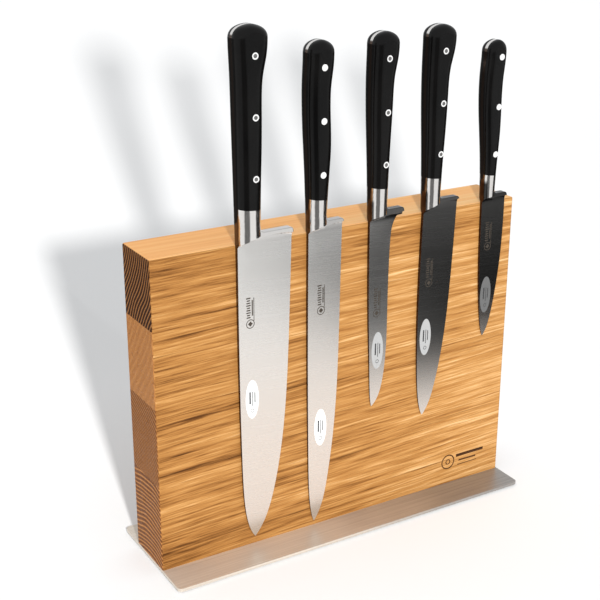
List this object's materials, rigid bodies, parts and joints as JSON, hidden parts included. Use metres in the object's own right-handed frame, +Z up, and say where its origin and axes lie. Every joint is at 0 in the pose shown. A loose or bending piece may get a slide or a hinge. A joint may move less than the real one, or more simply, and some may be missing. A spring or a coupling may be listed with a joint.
{
  "type": "magnetic knife block with knives",
  "caption": "Free-standing wooden board on a steel foot plate that holds kitchen knives upright on its front face with hidden magnets.",
  "frame": {"origin": "centre of the foot plate's outline, on the surface that the block stands on", "axes": "+Z up, +X along the board to the right seen from the front, +Y from the knives to the board's back"},
  "size_m": [0.265, 0.084, 0.3345],
  "materials": {
    "oak": "brushed and oiled light wood with open grain along the staves",
    "plate_steel": "satin stainless sheet",
    "screw_steel": "zinc-plated",
    "pad_rubber": "matt black",
    "magnet_nickel": "nickel-plated",
    "knife_steel": "fine ground blade, polished bolster and tang",
    "handle_black": "polished black",
    "rivet_steel": "polished flush"
  },
  "bodies": {
    "block": {"foot_plate": "plate_steel", "plate_screws": "screw_steel", "anti_slip_pads": "pad_rubber", "stave_bottom": "oak", "stave_lower": "oak", "stave_upper": "oak", "stave_top": "oak", "magnets_lower": "magnet_nickel", "magnets_upper": "magnet_nickel"},
    "chef_knife": {"chef_blade": "knife_steel", "chef_front_scale": "handle_black", "chef_back_scale": "handle_black", "chef_rivets": "rivet_steel"},
    "carving_knife": {"carving_blade": "knife_steel", "carving_front_scale": "handle_black", "carving_back_scale": "handle_black", "carving_rivets": "rivet_steel"},
    "boning_knife": {"boning_blade": "knife_steel", "boning_front_scale": "handle_black", "boning_back_scale": "handle_black", "boning_rivets": "rivet_steel"},
    "utility_knife": {"utility_blade": "knife_steel", "utility_front_scale": "handle_black", "utility_back_scale": "handle_black", "utility_rivets": "rivet_steel"},
    "paring_knife": {"paring_blade": "knife_steel", "paring_front_scale": "handle_black", "paring_back_scale": "handle_black", "paring_rivets": "rivet_steel"}
  },
  "joints": [
    {"name": "chef_lift_off", "type": "slide", "parent": "block", "child": "chef_knife", "axis": [0, -1, 0], "range_m": [0, 0.12]},
    {"name": "carving_lift_off", "type": "slide", "parent": "block", "child": "carving_knife", "axis": [0, -1, 0], "range_m": [0, 0.12]},
    {"name": "boning_lift_off", "type": "slide", "parent": "block", "child": "boning_knife", "axis": [0, -1, 0], "range_m": [0, 0.12]},
    {"name": "utility_lift_off", "type": "slide", "parent": "block", "child": "utility_knife", "axis": [0, -1, 0], "range_m": [0, 0.12]},
    {"name": "paring_lift_off", "type": "slide", "parent": "block", "child": "paring_knife", "axis": [0, -1, 0], "range_m": [0, 0.12]}
  ]
}
